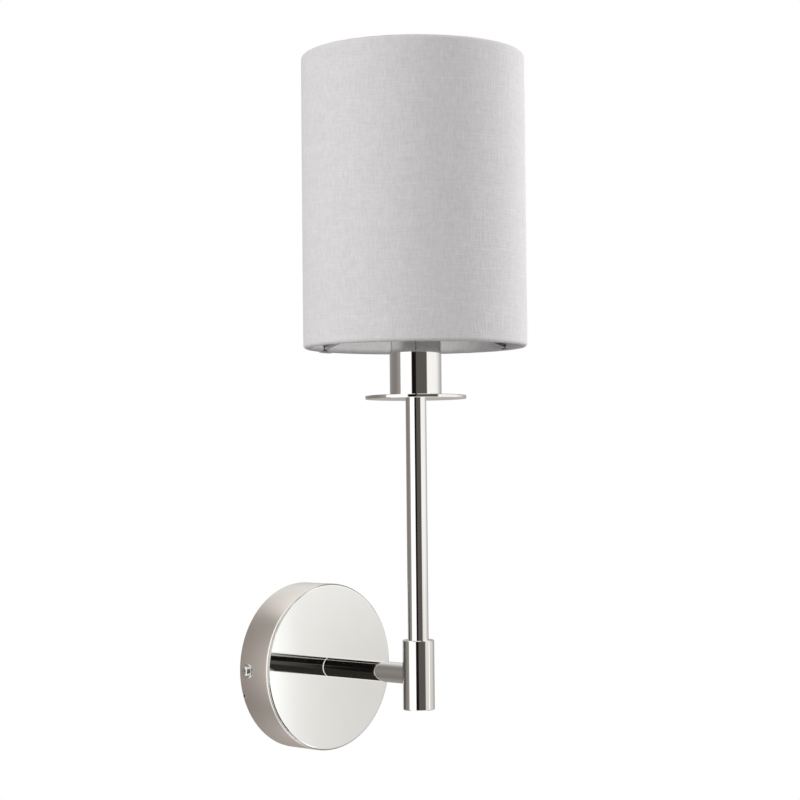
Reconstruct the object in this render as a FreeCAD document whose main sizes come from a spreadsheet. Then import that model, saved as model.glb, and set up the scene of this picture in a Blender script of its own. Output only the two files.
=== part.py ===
import FreeCAD, Part
import Sketcher
import math
import os

# A wall light: a round backplate carries a horizontal arm, a knuckle, an upright stem, a lampholder
# in a cup and a drum shade. The origin is at the wall, behind the middle of the backplate. +Z is up,
# +X is to the right and +Y goes into the wall, so the light stands out towards -Y.
# Lengths are in millimetres and angles in degrees.
sizes = {
    # main layout
    "stem_offset": 100.0,
    "disc_height": 159.0,
    # backplate cover
    "cover_radius": 50.0,
    "cover_depth": 25.0,
    "cover_wall": 1.2,
    "cover_edge": 1.5,
    "cover_inner_edge": 0.75,
    "vent_radius": 1.0,
    "vent_inset": 1.5,
    "vent_angle": 18.0,
    # wall bracket
    "bracket_thickness": 1.5,
    "bracket_width": 22.0,
    "column_width": 29.0,
    "column_top": 33.0,
    "column_bottom": 25.0,
    "lug_width": 14.0,
    "lug_length": 11.0,
    "bend_radius": 1.0,
    "slot_spacing": 60.0,
    "slot_length": 12.0,
    "slot_width": 4.5,
    "cable_hole_radius": 6.0,
    # side screws that hold the cover on the bracket
    "cover_screw_inset": 6.8,
    "cover_screw_radius": 1.5,
    "cover_screw_length": 6.0,
    "cover_head_radius": 2.85,
    "cover_head_height": 2.0,
    "cover_head_dome": 1.1,
    "cover_socket": 2.0,
    "cover_socket_depth": 1.2,
    "cover_washer_radius": 4.4,
    "cover_washer_thickness": 0.8,
    "cover_washer_edge": 0.4,
    # hollow threaded nipples and their fit
    "thread_radius": 5.0,
    "nipple_bore": 3.5,
    "fit": 0.05,
    "clearance": 0.2,
    # arm
    "arm_radius": 6.0,
    "arm_chamfer": 0.4,
    "arm_nipple_inside": 8.0,
    "arm_nipple_outside": 12.0,
    "arm_end_nipple_length": 9.0,
    "arm_seat": 6.4,
    "nut_flats": 14.0,
    "nut_thickness": 3.0,
    "lock_washer_thickness": 0.8,
    "lock_washer_radius": 7.6,
    # knuckle
    "knuckle_radius": 9.2,
    "knuckle_height": 40.0,
    "knuckle_chamfer": 0.4,
    "stem_socket_depth": 4.0,
    "plug_length": 6.0,
    "driver_slot_width": 1.2,
    "driver_slot_depth": 1.4,
    # stem
    "stem_radius": 6.0,
    "lower_nipple_bottom": 7.0,
    "lower_nipple_grip": 12.0,
    "upper_nipple_grip": 12.0,
    # disc and cup
    "disc_radius": 29.3,
    "disc_thickness": 2.0,
    "disc_chamfer": 0.25,
    "cup_height": 42.0,
    "cup_wall": 1.0,
    "cup_edge": 0.6,
    # lampholder
    "holder_radius": 13.7,
    "holder_gap": 0.3,
    "base_step": 0.7,
    "base_body": 22.0,
    "spigot_length": 6.0,
    "spigot_radius": 12.2,
    "neck_length": 7.0,
    "nipple_short": 0.5,
    "chamber_radius": 10.0,
    "chamber_length": 13.0,
    "block_radius": 10.95,
    "block_thickness": 5.0,
    "terminal_side": 5.0,
    "terminal_height": 5.5,
    "terminal_place": 5.5,
    "post_radius": 1.0,
    "holder_screw_radius": 1.1,
    "holder_head_radius": 1.7,
    "holder_head_height": 0.9,
    "holder_slot_depth": 0.35,
    "sleeve_wall": 0.55,
    "sleeve_length": 20.0,
    "sleeve_flange": 6.0,
    "contact_rise": 4.0,
    "contact_inset": 0.5,
    "contact_riser": 2.75,
    "contact_width": 4.0,
    "contact_thickness": 0.6,
    "collar_radius": 15.5,
    "collar_thickness": 1.5,
    "skirt_mouth_radius": 10.0,
    "skirt_end": 2.0,
    # ring that clamps the shade
    "ring_radius": 19.0,
    "ring_thickness": 5.0,
    "ring_chamfer": 0.4,
    "ring_grip_radius": 0.9,
    "ring_grips": 24,
    # shade
    "shade_radius": 65.0,
    "shade_height": 170.0,
    "fabric_thickness": 0.6,
    "lining_thickness": 0.4,
    "glue_gap": 0.05,
    "wire_radius": 1.25,
    "spoke_radius": 1.5,
    "spoke_count": 3,
    "spoke_angle": -14.0,
    "carrier_drop": 14.5,
    "gallery_radius": 22.0,
    "gallery_thickness": 1.5,
    "hem_width": 10.0,
    "hem_rise": 5.0,
    "hem_lip": 0.9,
    "hem_notch": 0.4,
    # lamp with a 14 mm screw cap
    "cap_radius": 6.95,
    "cap_clearance": 0.08,
    "cap_wall": 0.35,
    "cap_length": 15.5,
    "cap_tuck": 4.65,
    "tip_radius": 2.4,
    "tip_length": 1.0,
    "insulator_length": 2.6,
    "globe_radius": 17.5,
    "globe_length": 82.0,
    "globe_neck": 8.2,
    "globe_flare": 2.0,
    "globe_step": 0.3,
    "globe_wall": 0.8,
    "lamp_stem_radius": 2.6,
    "lamp_stem_length": 22.0,
    "filament_radius": 0.9,
    "filament_length": 36.0,
    "filament_spread": 5.5,
    "filament_top_spread": 3.3,
    "filament_angle": 45.0,
    "filament_count": 4,
    "lead_radius": 0.3,
    # terminal block and its wires
    "block_length": 30.0,
    "block_depth": 17.0,
    "block_height": 12.0,
    "block_bottom": 15.0,
    "pole_pitch": 9.5,
    "insert_radius": 2.4,
    "insert_bore": 1.5,
    "insert_length": 14.0,
    "insert_web": 2.0,
    "insert_screw_place": 4.2,
    "insert_screw_radius": 1.25,
    "insert_head_radius": 1.7,
    "insert_head_height": 1.6,
    "block_screw_radius": 1.25,
    "block_head_radius": 2.1,
    "block_head_height": 1.6,
    "fine_slot_width": 0.6,
    "fine_slot_depth": 0.7,
    "wire_cover_radius": 0.9,
    "wire_place": 1.2,
    "wire_entry": 6.0,
    "wire_drop": 3.5,
    "wire_stub": 0.5,
    "wire_lead": 0.8,
    "wire_bend": 8.0,
    "wire_tight_bend": 4.4,
    "wire_holder_bend": 4.8,
    # earth connection on the bracket
    "earth_place": 18.0,
    "earth_screw_radius": 2.0,
    "earth_head_radius": 3.6,
    "earth_head_height": 2.4,
    "tag_radius": 4.0,
    "tag_thickness": 0.8,
    "barrel_radius": 1.8,
    "barrel_length": 5.0,
    "barrel_rise": 6.0,
    "tongue_width": 1.8,
    "tongue_thickness": 0.4,
    "earth_wire_rise": 10.0,
    "earth_wire_lead": 2.0,
    "earth_wire_bend": 6.4,
    "earth_washer_radius": 3.8,
    "washer_teeth": 8,
    "washer_tooth_radius": 0.7,
}

# Edges are matched to their places within this length.
tolerance = 1e-4
# A wire's volume may differ from its section times its length by this share.
volume_error = 0.01
# The lamp's envelope passes through these shares of its full radius and of its length.
globe_curve = [(0.78, 0.15), (1.0, 0.38), (0.72, 0.69), (0.27, 0.93)]

doc = FreeCAD.newDocument("WallLight")
sheet = doc.addObject("Spreadsheet::Sheet", "Sizes")
for row, (alias, number) in enumerate(sizes.items(), 1):
    sheet.set(f"A{row}", alias)
    sheet.set(f"B{row}", str(number))
    sheet.setAlias(f"B{row}", alias)
doc.recompute()


class Size:
    # A length that knows both its value and the sheet expression that gives it.
    def __init__(self, number, text):
        self.number = number
        self.text = text

    def __add__(self, other):
        other = as_size(other)
        return Size(self.number + other.number, f"({self.text} + {other.text})")

    def __sub__(self, other):
        other = as_size(other)
        return Size(self.number - other.number, f"({self.text} - {other.text})")

    def __mul__(self, factor):
        return Size(self.number * factor, f"({self.text} * {factor})")

    def __neg__(self):
        return self * -1


def as_size(value):
    if isinstance(value, Size):
        return value
    return Size(float(value), str(float(value)))


def cell(alias):
    return Size(float(sheet.get(alias)), f"Sizes.{alias}")


zero = as_size(0)
up = FreeCAD.Rotation()
outward = FreeCAD.Rotation(FreeCAD.Vector(1, 0, 0), 90)
to_left = FreeCAD.Rotation(FreeCAD.Vector(0, 1, 0), -90)
to_right = FreeCAD.Rotation(FreeCAD.Vector(0, 1, 0), 90)
pieces = []


# Helpers that draw, place and name the pieces.


def place(thing, x, y, z, turn=up):
    thing.Placement = FreeCAD.Placement(FreeCAD.Vector(x.number, y.number, z.number), turn)
    for axis, size in (("x", x), ("y", y), ("z", z)):
        thing.setExpression(f"Placement.Base.{axis}", size.text)


def on_stem(thing, height, turn=up):
    place(thing, zero, -stem_offset, height, turn)


def on_wall(thing, distance):
    # The piece's own Z points out of the wall and its own Y points up.
    place(thing, zero, -distance, zero, outward)


def keep(thing, label):
    thing.Label = label
    pieces.append(thing)
    return thing


def new_body(label):
    return doc.addObject("PartDesign::Body", label)


def origin_plane(body, role):
    return [part for part in body.Origin.OriginFeatures if part.Role == role][0]


def new_sketch(body, role, lift=zero):
    # A sketch on one of the body's own planes, lifted along that plane's normal.
    sketch = body.newObject("Sketcher::SketchObject", "Sketch")
    sketch.AttachmentSupport = (origin_plane(body, role), [""])
    sketch.MapMode = "FlatFace"
    offset = FreeCAD.Vector(0, 0, lift.number)
    sketch.AttachmentOffset = FreeCAD.Placement(offset, FreeCAD.Rotation())
    sketch.setExpression("AttachmentOffset.Base.z", lift.text)
    return sketch


def bind_point(sketch, geometry, point, x, y):
    for kind, size in (("DistanceX", x), ("DistanceY", y)):
        rule = Sketcher.Constraint(kind, -1, 1, geometry, point, size.number)
        index = sketch.addConstraint(rule)
        sketch.setExpression(f"Constraints[{index}]", size.text)


def draw_outline(sketch, corners):
    count = len(corners)
    first = sketch.GeometryCount
    points = [FreeCAD.Vector(x.number, y.number, 0) for x, y in corners]
    for i in range(count):
        sketch.addGeometry(Part.LineSegment(points[i], points[(i + 1) % count]), False)
    for i in range(count):
        after = first + (i + 1) % count
        sketch.addConstraint(Sketcher.Constraint("Coincident", first + i, 2, after, 1))
    for i, (x, y) in enumerate(corners):
        bind_point(sketch, first + i, 1, x, y)


def draw_box(sketch, left, bottom, right, top):
    draw_outline(sketch, [(left, bottom), (right, bottom), (right, top), (left, top)])


def draw_circle(sketch, x, y, radius):
    centre = FreeCAD.Vector(x.number, y.number, 0)
    circle = Part.Circle(centre, FreeCAD.Vector(0, 0, 1), radius.number)
    geometry = sketch.addGeometry(circle, False)
    bind_point(sketch, geometry, 3, x, y)
    index = sketch.addConstraint(Sketcher.Constraint("Radius", geometry, radius.number))
    sketch.setExpression(f"Constraints[{index}]", radius.text)


def turn(body, profile):
    # Turns a closed profile of (radius, height) corners about the body's own Z axis.
    sketch = new_sketch(body, "XZ_Plane")
    draw_outline(sketch, profile)
    turned = body.newObject("PartDesign::Revolution", "Turned")
    turned.Profile = sketch
    turned.ReferenceAxis = (sketch, ["V_Axis"])
    turned.Angle = 360
    doc.recompute()
    return turned


def tube_profile(outer, inner, length):
    return [(inner, zero), (outer, zero), (outer, length), (inner, length)]


def pad(body, sketch, length, both_ways=False):
    raised = body.newObject("PartDesign::Pad", "Pad")
    raised.Profile = sketch
    raised.setExpression("Length", length.text)
    raised.Midplane = both_ways
    doc.recompute()
    return raised


def pocket(body, sketch, depth=None, reverse=False):
    # With no depth the cut goes right through, both ways.
    before = body.Shape.Volume
    cut = body.newObject("PartDesign::Pocket", "Pocket")
    cut.Profile = sketch
    cut.Reversed = reverse
    if depth is None:
        cut.Type = "ThroughAll"
        cut.Midplane = True
    else:
        cut.setExpression("Length", depth.text)
    doc.recompute()
    if body.Shape.Volume >= before:
        raise RuntimeError(f"{body.Label}: a pocket removes nothing")
    return cut


def circular_edges(shape, radius, height):
    # The names of the full circles of one radius at one height of a turned piece.
    names = []
    for index, edge in enumerate(shape.Edges, 1):
        curve = edge.Curve
        if not isinstance(curve, Part.Circle) or len(edge.Vertexes) != 1:
            continue
        at_radius = abs(curve.Radius - radius.number) < tolerance
        if at_radius and abs(curve.Center.z - height.number) < tolerance:
            names.append(f"Edge{index}")
    return names


def soften(body, feature, kind, rims, size):
    # Rounds or bevels rims that are given as (radius, height).
    names = []
    for radius, height in rims:
        names += circular_edges(feature.Shape, radius, height)
    dressed = body.newObject(f"PartDesign::{kind}", kind)
    dressed.Base = (feature, names)
    dressed.setExpression("Radius" if kind == "Fillet" else "Size", size.text)
    doc.recompute()
    return dressed


def driver_slot(body, height, width, depth, reach):
    # A straight slot for a screwdriver across the top face at that height.
    sketch = new_sketch(body, "XY_Plane", height)
    draw_box(sketch, -reach, -width * 0.5, reach, width * 0.5)
    return pocket(body, sketch, depth)


def gather(things, label):
    # Identical pieces that share one node, each a solid of its own.
    group = doc.addObject("Part::Compound", label)
    group.Links = things
    return keep(group, label)


def solid_piece(shape, label):
    piece = doc.addObject("Part::Feature", label)
    piece.Shape = shape
    return keep(piece, label)


# Main values that several pieces share.

stem_offset = cell("stem_offset")
fit = cell("fit")
clearance = cell("clearance")
thread_radius = cell("thread_radius")
thread_bore = thread_radius + fit
nipple_hole = thread_radius + clearance
nipple_bore = cell("nipple_bore")
cover_radius = cell("cover_radius")
cover_depth = cell("cover_depth")
cover_inner = cover_radius - cell("cover_wall")
cover_ceiling = cover_depth - cell("cover_wall")
bracket_face = cell("bracket_thickness")
screw_inset = cell("cover_screw_inset")
cover_screw_radius = cell("cover_screw_radius")
knuckle_half = cell("knuckle_height") * 0.5
stem_bottom = knuckle_half - cell("stem_socket_depth")
disc_bottom = cell("disc_height")
cup_bottom = disc_bottom + cell("disc_thickness")
cup_floor = cup_bottom + cell("cup_wall")
cup_top = cup_bottom + cell("cup_height")
cup_inner = cell("holder_radius") + cell("holder_gap")
cup_radius = cup_inner + cell("cup_wall")
skirt_start = cup_floor + cell("base_body")
spigot_top = skirt_start + cell("spigot_length")
block_seat = cup_floor + cell("neck_length") + cell("chamber_length")
block_top = block_seat + cell("block_thickness")
lamp_seat = block_top + cell("contact_rise")
gallery_bottom = cup_top + cell("collar_thickness")
gallery_top = gallery_bottom + cell("gallery_thickness")
ring_top = gallery_top + cell("ring_thickness")
lower_wire_height = gallery_bottom + cell("gallery_thickness") * 0.5 - cell("carrier_drop")


# Wall bracket: a cross-shaped plate that is screwed to the wall, with a bent and tapped lug at each
# end. Slots take the two wall screws and the hole in the middle takes the supply cable.


def lug_face():
    # The lug's outer corners just clear the inside of the round cover.
    half = cell("lug_width") * 0.5
    text = f"(sqrt({cover_inner.text}^2 - {half.text}^2) - {clearance.text})"
    return Size(math.sqrt(cover_inner.number**2 - half.number**2) - clearance.number, text)


def make_bracket():
    body = new_body("wall_bracket")
    end = lug_face()
    half_width = cell("bracket_width") * 0.5
    half_column = cell("column_width") * 0.5
    half_lug = cell("lug_width") * 0.5
    bottom = -cell("column_bottom")
    top = cell("column_top")
    taper = end - half_width + half_lug
    plate = new_sketch(body, "XY_Plane")
    right_side = [
        (half_column, bottom), (half_column, -half_width), (taper, -half_width), (end, -half_lug),
        (end, half_lug), (taper, half_width), (half_column, half_width), (half_column, top),
    ]
    left_side = [(-x, y) for x, y in reversed(right_side)]
    draw_outline(plate, right_side + left_side)
    pad(body, plate, bracket_face)
    lugs = new_sketch(body, "XZ_Plane")
    inner = end - bracket_face
    draw_box(lugs, inner, zero, end, cell("lug_length"))
    draw_box(lugs, -end, zero, -inner, cell("lug_length"))
    lugs_pad = pad(body, lugs, cell("lug_width"), True)
    bends = []
    for index, edge in enumerate(lugs_pad.Shape.Edges, 1):
        middle = edge.CenterOfMass
        level = abs(middle.z - bracket_face.number) < tolerance
        at_lug = abs(abs(middle.x) - inner.number) < tolerance
        if level and at_lug and abs(edge.Length - 2 * half_lug.number) < tolerance:
            bends.append(f"Edge{index}")
    bend = body.newObject("PartDesign::Fillet", "Bend")
    bend.Base = (lugs_pad, bends)
    bend.setExpression("Radius", "Sizes.bend_radius")
    doc.recompute()
    slots = new_sketch(body, "XY_Plane")
    half_slot = cell("slot_width") * 0.5
    reach = cell("slot_length") * 0.5 - half_slot
    for side in (-1, 1):
        middle = cell("slot_spacing") * (0.5 * side)
        draw_box(slots, middle - reach, -half_slot, middle + reach, half_slot)
    pocket(body, slots)
    holes = new_sketch(body, "XY_Plane")
    for side in (-1, 1):
        middle = cell("slot_spacing") * (0.5 * side)
        draw_circle(holes, middle - reach, zero, half_slot)
        draw_circle(holes, middle + reach, zero, half_slot)
    pocket(body, holes)
    round_holes = new_sketch(body, "XY_Plane")
    draw_circle(round_holes, zero, zero, cell("cable_hole_radius"))
    draw_circle(round_holes, pole_place(2), -cell("earth_place"), cell("earth_screw_radius") + fit)
    draw_circle(round_holes, block_screw_x, block_middle, cell("block_screw_radius") + fit)
    pocket(body, round_holes)
    tapped = new_sketch(body, "YZ_Plane")
    draw_circle(tapped, zero, screw_inset, cover_screw_radius + fit)
    pocket(body, tapped)
    on_wall(keep(body, "wall_bracket"), zero)


# Terminal block: three poles side by side, each a brass insert with two clamping screws, held to the
# bracket's upper tab by one screw between two poles.


def pole_place(index):
    return cell("pole_pitch") * (index - 1)


block_middle = cell("block_bottom") + cell("block_depth") * 0.5
block_screw_x = cell("pole_pitch") * 0.5
block_front = bracket_face + cell("block_height")
pole_level = bracket_face + cell("block_height") * 0.5
insert_screw_hole = cell("insert_screw_radius") + fit
access_radius = cell("insert_head_radius") + clearance
block_head_seat = block_front - cell("block_head_height") - clearance


def make_terminal_block():
    body = new_body("terminal_block")
    outline = new_sketch(body, "XY_Plane", bracket_face)
    half = cell("block_length") * 0.5
    top = cell("block_bottom") + cell("block_depth")
    draw_box(outline, -half, cell("block_bottom"), half, top)
    pad(body, outline, cell("block_height"))
    barrels = new_sketch(body, "XZ_Plane")
    access = new_sketch(body, "XY_Plane", block_front)
    for index in range(3):
        draw_circle(barrels, pole_place(index), pole_level, cell("insert_radius") + fit)
        for side in (-1, 1):
            height = block_middle + cell("insert_screw_place") * side
            draw_circle(access, pole_place(index), height, access_radius)
    pocket(body, barrels)
    pocket(body, access, block_front - pole_level)
    through = new_sketch(body, "XY_Plane")
    draw_circle(through, block_screw_x, block_middle, cell("block_screw_radius") + clearance)
    pocket(body, through)
    recess = new_sketch(body, "XY_Plane", block_front)
    draw_circle(recess, block_screw_x, block_middle, cell("block_head_radius") + clearance)
    pocket(body, recess, block_front - block_head_seat)
    on_wall(keep(body, "terminal_block"), zero)


def make_terminal_inserts():
    inserts = []
    half = cell("insert_length") * 0.5
    web = cell("insert_web") * 0.5
    for index in range(3):
        body = new_body("terminal_insert")
        radius = cell("insert_radius")
        barrel = new_sketch(body, "XZ_Plane")
        draw_circle(barrel, zero, zero, radius)
        pad(body, barrel, cell("insert_length"), True)
        for side in (-1, 1):
            mouth = new_sketch(body, "XZ_Plane", half * side)
            draw_circle(mouth, zero, zero, cell("insert_bore"))
            pocket(body, mouth, half - web, side < 0)
        threads = new_sketch(body, "XY_Plane", radius)
        for side in (-1, 1):
            draw_circle(threads, zero, cell("insert_screw_place") * side, insert_screw_hole)
        pocket(body, threads, radius)
        place(body, pole_place(index), -pole_level, block_middle, outward)
        inserts.append(body)
    gather(inserts, "terminal_inserts")


def slotted_screw(label, shank, shank_length, head, head_height, slot_width, slot_depth):
    # A cheese-head screw whose shank points along its own -Z, with its head seated at height 0.
    body = new_body(label)
    profile = [
        (zero, -shank_length), (shank, -shank_length), (shank, zero), (head, zero),
        (head, head_height), (zero, head_height),
    ]
    turn(body, profile)
    driver_slot(body, head_height, slot_width, slot_depth, head)
    return body


def make_terminal_screws():
    # Each head stands off its insert, because the tip already presses on the wire's jacket.
    screws = []
    tip = pole_level + cell("wire_cover_radius") + clearance
    seat = pole_level + cell("insert_radius") + clearance
    for index in range(3):
        for side in (-1, 1):
            body = slotted_screw(
                "terminal_screw", cell("insert_screw_radius"), seat - tip,
                cell("insert_head_radius"), cell("insert_head_height"),
                cell("fine_slot_width"), cell("fine_slot_depth"),
            )
            height = block_middle + cell("insert_screw_place") * side
            place(body, pole_place(index), -seat, height, outward)
            screws.append(body)
    gather(screws, "terminal_screws")


def make_block_screw():
    body = slotted_screw(
        "block_screw", cell("block_screw_radius"), block_head_seat - clearance,
        cell("block_head_radius"), cell("block_head_height"),
        cell("fine_slot_width"), cell("fine_slot_depth"),
    )
    place(keep(body, "block_screw"), block_screw_x, -block_head_seat, block_middle, outward)


# Earth connection: a crimped ring tag under a toothed washer and a screw on the bracket's lower tab.

earth_x = pole_place(2)
tag_top = bracket_face + cell("tag_thickness")
earth_head_seat = tag_top + cell("lock_washer_thickness")
barrel_level = bracket_face + cell("barrel_radius")


def toothed_washer(label, bore, outer):
    body = new_body(label)
    turn(body, tube_profile(outer, bore, cell("lock_washer_thickness")))
    tooth = new_sketch(body, "XY_Plane")
    draw_circle(tooth, outer, zero, cell("washer_tooth_radius"))
    gap = pocket(body, tooth)
    ring = body.newObject("PartDesign::PolarPattern", "Teeth")
    ring.Originals = [gap]
    ring.Axis = (origin_plane(body, "Z_Axis"), [""])
    ring.Angle = 360
    ring.setExpression("Occurrences", "Sizes.washer_teeth")
    body.Tip = ring
    doc.recompute()
    return keep(body, label)


def make_earth_tag():
    body = new_body("earth_tag")
    ring = new_sketch(body, "XY_Plane", bracket_face)
    draw_circle(ring, zero, zero, cell("tag_radius"))
    pad(body, ring, cell("tag_thickness"))
    half = cell("tongue_width") * 0.5
    barrel_start = cell("barrel_rise")
    tongue = new_sketch(body, "XY_Plane", bracket_face)
    draw_box(tongue, -half, zero, half, barrel_start + cell("barrel_length"))
    pad(body, tongue, cell("tongue_thickness"))
    barrel = new_sketch(body, "XZ_Plane", -barrel_start)
    draw_circle(barrel, zero, barrel_level, cell("barrel_radius"))
    crimp = pad(body, barrel, cell("barrel_length"))
    crimp.Reversed = True
    doc.recompute()
    bore = new_sketch(body, "XZ_Plane", -barrel_start)
    draw_circle(bore, zero, barrel_level, cell("wire_cover_radius") + fit)
    pocket(body, bore, cell("barrel_length"))
    hole = new_sketch(body, "XY_Plane")
    draw_circle(hole, zero, zero, cell("earth_screw_radius") + clearance)
    pocket(body, hole)
    place(keep(body, "earth_tag"), earth_x, zero, -cell("earth_place"), outward)


def make_earth_parts():
    washer_bore = cell("earth_screw_radius") + clearance
    washer = toothed_washer("earth_lock_washer", washer_bore, cell("earth_washer_radius"))
    place(washer, earth_x, -tag_top, -cell("earth_place"), outward)
    screw = slotted_screw(
        "earth_screw", cell("earth_screw_radius"), earth_head_seat - clearance,
        cell("earth_head_radius"), cell("earth_head_height"),
        cell("driver_slot_width"), cell("driver_slot_depth"),
    )
    place(keep(screw, "earth_screw"), earth_x, -earth_head_seat, -cell("earth_place"), outward)


# Backplate cover: a drawn round dish that hides the bracket. Its front carries the arm and two
# screws through its rim reach the bracket's lugs. A small hole breaks the rim near its rear edge.


def make_cover():
    body = new_body("backplate_cover")
    profile = [
        (cover_inner, zero), (cover_radius, zero), (cover_radius, cover_depth),
        (nipple_hole, cover_depth), (nipple_hole, cover_ceiling), (cover_inner, cover_ceiling),
    ]
    dish = turn(body, profile)
    dish = soften(body, dish, "Fillet", [(cover_radius, cover_depth)], cell("cover_edge"))
    soften(body, dish, "Fillet", [(cover_inner, cover_ceiling)], cell("cover_inner_edge"))
    screws = new_sketch(body, "YZ_Plane")
    draw_circle(screws, zero, screw_inset, cover_screw_radius + clearance)
    pocket(body, screws)
    vent = new_sketch(body, "YZ_Plane")
    turned = FreeCAD.Rotation(FreeCAD.Vector(0, 1, 0), cell("vent_angle").number)
    vent.AttachmentOffset = FreeCAD.Placement(FreeCAD.Vector(0, 0, 0), turned)
    vent.setExpression("AttachmentOffset.Rotation.Angle", "Sizes.vent_angle")
    draw_circle(vent, zero, cell("vent_inset"), cell("vent_radius"))
    pocket(body, vent, cover_radius + clearance)
    on_wall(keep(body, "backplate_cover"), zero)


def hexagon(sketch, flats):
    corner = flats * (1 / math.sqrt(3))
    half = flats * 0.5
    draw_outline(sketch, [
        (corner, zero), (corner * 0.5, half), (-corner * 0.5, half),
        (-corner, zero), (-corner * 0.5, -half), (corner * 0.5, -half),
    ])


def make_cover_screws():
    screws = []
    washers = []
    head = cell("cover_head_radius")
    height = cell("cover_head_height")
    length = cell("cover_screw_length")
    thickness = cell("cover_washer_thickness")
    washer_radius = cell("cover_washer_radius")
    washer_bore = cover_screw_radius + clearance
    for side, direction in ((-1, to_left), (1, to_right)):
        body = new_body("cover_screw")
        profile = [
            (zero, -length), (cover_screw_radius, -length), (cover_screw_radius, zero),
            (head, zero), (head, height), (zero, height),
        ]
        screw = turn(body, profile)
        soften(body, screw, "Fillet", [(head, height)], cell("cover_head_dome"))
        socket = new_sketch(body, "XY_Plane", height)
        hexagon(socket, cell("cover_socket"))
        pocket(body, socket, cell("cover_socket_depth"))
        place(body, (cover_radius + thickness) * side, -screw_inset, zero, direction)
        screws.append(body)
        washer = new_body("cover_washer")
        ring = turn(washer, tube_profile(washer_radius, washer_bore, thickness))
        soften(washer, ring, "Fillet", [(washer_radius, thickness)], cell("cover_washer_edge"))
        place(washer, cover_radius * side, -screw_inset, zero, direction)
        washers.append(washer)
    gather(screws, "cover_screws")
    gather(washers, "cover_washers")


# Arm: a tube on a hollow nipple that is locked inside the cover, with a second nipple in the knuckle.

arm_end = stem_offset - cell("arm_seat")


def tube_piece(label, outer, inner, length):
    body = new_body(label)
    turn(body, tube_profile(outer, inner, length))
    return keep(body, label)


def make_arm():
    washer = toothed_washer("arm_lock_washer", nipple_hole, cell("lock_washer_radius"))
    washer_back = cover_ceiling - cell("lock_washer_thickness")
    on_wall(washer, washer_back)
    nut = new_body("arm_lock_nut")
    flats = new_sketch(nut, "XY_Plane")
    hexagon(flats, cell("nut_flats"))
    pad(nut, flats, cell("nut_thickness"))
    hole = new_sketch(nut, "XY_Plane")
    draw_circle(hole, zero, zero, thread_bore)
    pocket(nut, hole)
    on_wall(keep(nut, "arm_lock_nut"), washer_back - cell("nut_thickness"))
    inside = cover_ceiling - cell("arm_nipple_inside")
    outside = cover_depth + cell("arm_nipple_outside")
    nipple = tube_piece("arm_nipple", thread_radius, nipple_bore, outside - inside)
    on_wall(nipple, inside)
    tube = new_body("arm_tube")
    length = arm_end - cover_depth
    bare = turn(tube, tube_profile(cell("arm_radius"), thread_bore, length))
    soften(tube, bare, "Chamfer", [(cell("arm_radius"), zero)], cell("arm_chamfer"))
    on_wall(keep(tube, "arm_tube"), cover_depth)
    end_length = cell("arm_end_nipple_length")
    end_stop = stem_offset - thread_bore - clearance
    end_nipple = tube_piece("arm_end_nipple", thread_radius, nipple_bore, end_length)
    on_wall(end_nipple, end_stop - end_length)


# Knuckle: a short upright cylinder, bored through for the wires, with a socket for the stem on top,
# a side socket for the arm and a slotted plug that closes its lower end.


def make_knuckle():
    body = new_body("knuckle")
    height = cell("knuckle_height")
    outer = cell("knuckle_radius")
    socket_radius = cell("stem_radius") + fit
    socket_floor = height - cell("stem_socket_depth")
    profile = [
        (thread_bore, zero), (outer, zero), (outer, height),
        (socket_radius, height), (socket_radius, socket_floor), (thread_bore, socket_floor),
    ]
    bare = turn(body, profile)
    soften(body, bare, "Chamfer", [(outer, zero), (outer, height)], cell("knuckle_chamfer"))
    half = knuckle_half
    bore = new_sketch(body, "XZ_Plane")
    draw_circle(bore, zero, half, thread_bore)
    pocket(body, bore, outer)
    side = new_sketch(body, "XZ_Plane", -cell("arm_seat"))
    draw_circle(side, zero, half, cell("arm_radius") + fit)
    pocket(body, side, outer)
    on_stem(keep(body, "knuckle"), -half)
    plug = new_body("knuckle_plug")
    length = cell("plug_length")
    turn(plug, [(zero, zero), (thread_radius, zero), (thread_radius, length), (zero, length)])
    driver_slot(
        plug, length, cell("driver_slot_width"), cell("driver_slot_depth"), thread_radius
    )
    face_down = FreeCAD.Rotation(FreeCAD.Vector(1, 0, 0), 180)
    on_stem(keep(plug, "knuckle_plug"), length - half, face_down)


# Stem: an upright tube between two nipples. The upper one clamps the disc, the cup and the holder.


def make_stem():
    bottom = cell("lower_nipple_bottom")
    top = stem_bottom + cell("lower_nipple_grip")
    lower = tube_piece("stem_lower_nipple", thread_radius, nipple_bore, top - bottom)
    on_stem(lower, bottom)
    tube = tube_piece("stem_tube", cell("stem_radius"), thread_bore, disc_bottom - stem_bottom)
    on_stem(tube, stem_bottom)
    start = disc_bottom - cell("upper_nipple_grip")
    end = cup_floor + cell("neck_length") - cell("nipple_short")
    upper = tube_piece("stem_upper_nipple", thread_radius, nipple_bore, end - start)
    on_stem(upper, start)


def make_disc_and_cup():
    disc = new_body("cup_disc")
    radius = cell("disc_radius")
    thickness = cell("disc_thickness")
    bare = turn(disc, tube_profile(radius, nipple_hole, thickness))
    soften(disc, bare, "Chamfer", [(radius, zero), (radius, thickness)], cell("disc_chamfer"))
    on_stem(keep(disc, "cup_disc"), disc_bottom)
    cup = new_body("lampholder_cup")
    wall = cell("cup_wall")
    height = cell("cup_height")
    profile = [
        (nipple_hole, zero), (cup_radius, zero), (cup_radius, height),
        (cup_inner, height), (cup_inner, wall), (nipple_hole, wall),
    ]
    bare = turn(cup, profile)
    soften(cup, bare, "Fillet", [(cup_radius, zero)], cell("cup_edge"))
    on_stem(keep(cup, "lampholder_cup"), cup_bottom)


# Lampholder: an insulating base with a chamber for the terminals, a contact block on its ledge, and
# a skirt that closes it, carries the shade on its collar and takes the shade ring on its outside.

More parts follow.
